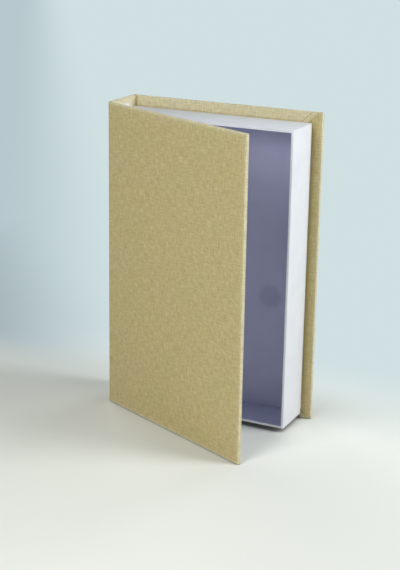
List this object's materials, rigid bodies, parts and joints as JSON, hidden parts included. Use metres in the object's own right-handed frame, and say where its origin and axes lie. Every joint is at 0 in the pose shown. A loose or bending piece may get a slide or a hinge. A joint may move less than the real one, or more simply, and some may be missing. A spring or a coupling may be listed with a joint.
{
  "type": "clamshell book box",
  "caption": "Cloth-covered clamshell box that opens like a book on two cloth joints, with a white paper-covered tray for papers, standing with its cover ajar.",
  "frame": {"origin": "middle of the back cover's tail edge, on the surface that the box stands on", "axes": "+X from the spine to the fore-edge, +Y from the front cover to the back cover, +Z from tail to head"},
  "size_m": [0.171, 0.1157, 0.26],
  "materials": {
    "bookcloth": "plain-woven khaki linen bookcloth, matt",
    "white_paper": "smooth white paper, matt",
    "greyboard": "dense grey binder's board"
  },
  "bodies": {
    "back_case": {"back_board": "greyboard", "back_cloth": "bookcloth", "back_lining_tab": "bookcloth", "back_joint_cloth": "bookcloth", "back_joint_lining": "bookcloth", "tray_base": "greyboard", "tray_spine_wall": "greyboard", "tray_fore_edge_wall": "greyboard", "tray_head_wall": "greyboard", "tray_tail_wall": "greyboard", "tray_wrap": "white_paper", "tray_floor_liner": "white_paper"},
    "spine": {"spine_board": "greyboard", "spine_cloth": "bookcloth", "spine_lining": "bookcloth", "spine_liner": "white_paper", "front_joint_cloth": "bookcloth", "front_joint_lining": "bookcloth"},
    "front_cover": {"front_board": "greyboard", "front_cloth": "bookcloth", "front_lining_tab": "bookcloth", "front_liner": "white_paper"}
  },
  "joints": [
    {"name": "back_joint", "type": "hinge", "parent": "back_case", "child": "spine", "pos_m": [-0.08488, 0.00075, 0], "axis": [0, 0, -1], "range_deg": [0, 90], "deforming": ["back_joint_cloth", "back_joint_lining"]},
    {"name": "front_joint", "type": "hinge", "parent": "spine", "child": "front_cover", "pos_m": [-0.08488, -0.04286, 0], "axis": [0, 0, -1], "range_deg": [-24.6, 155.4], "deforming": ["front_joint_cloth", "front_joint_lining"]}
  ]
}
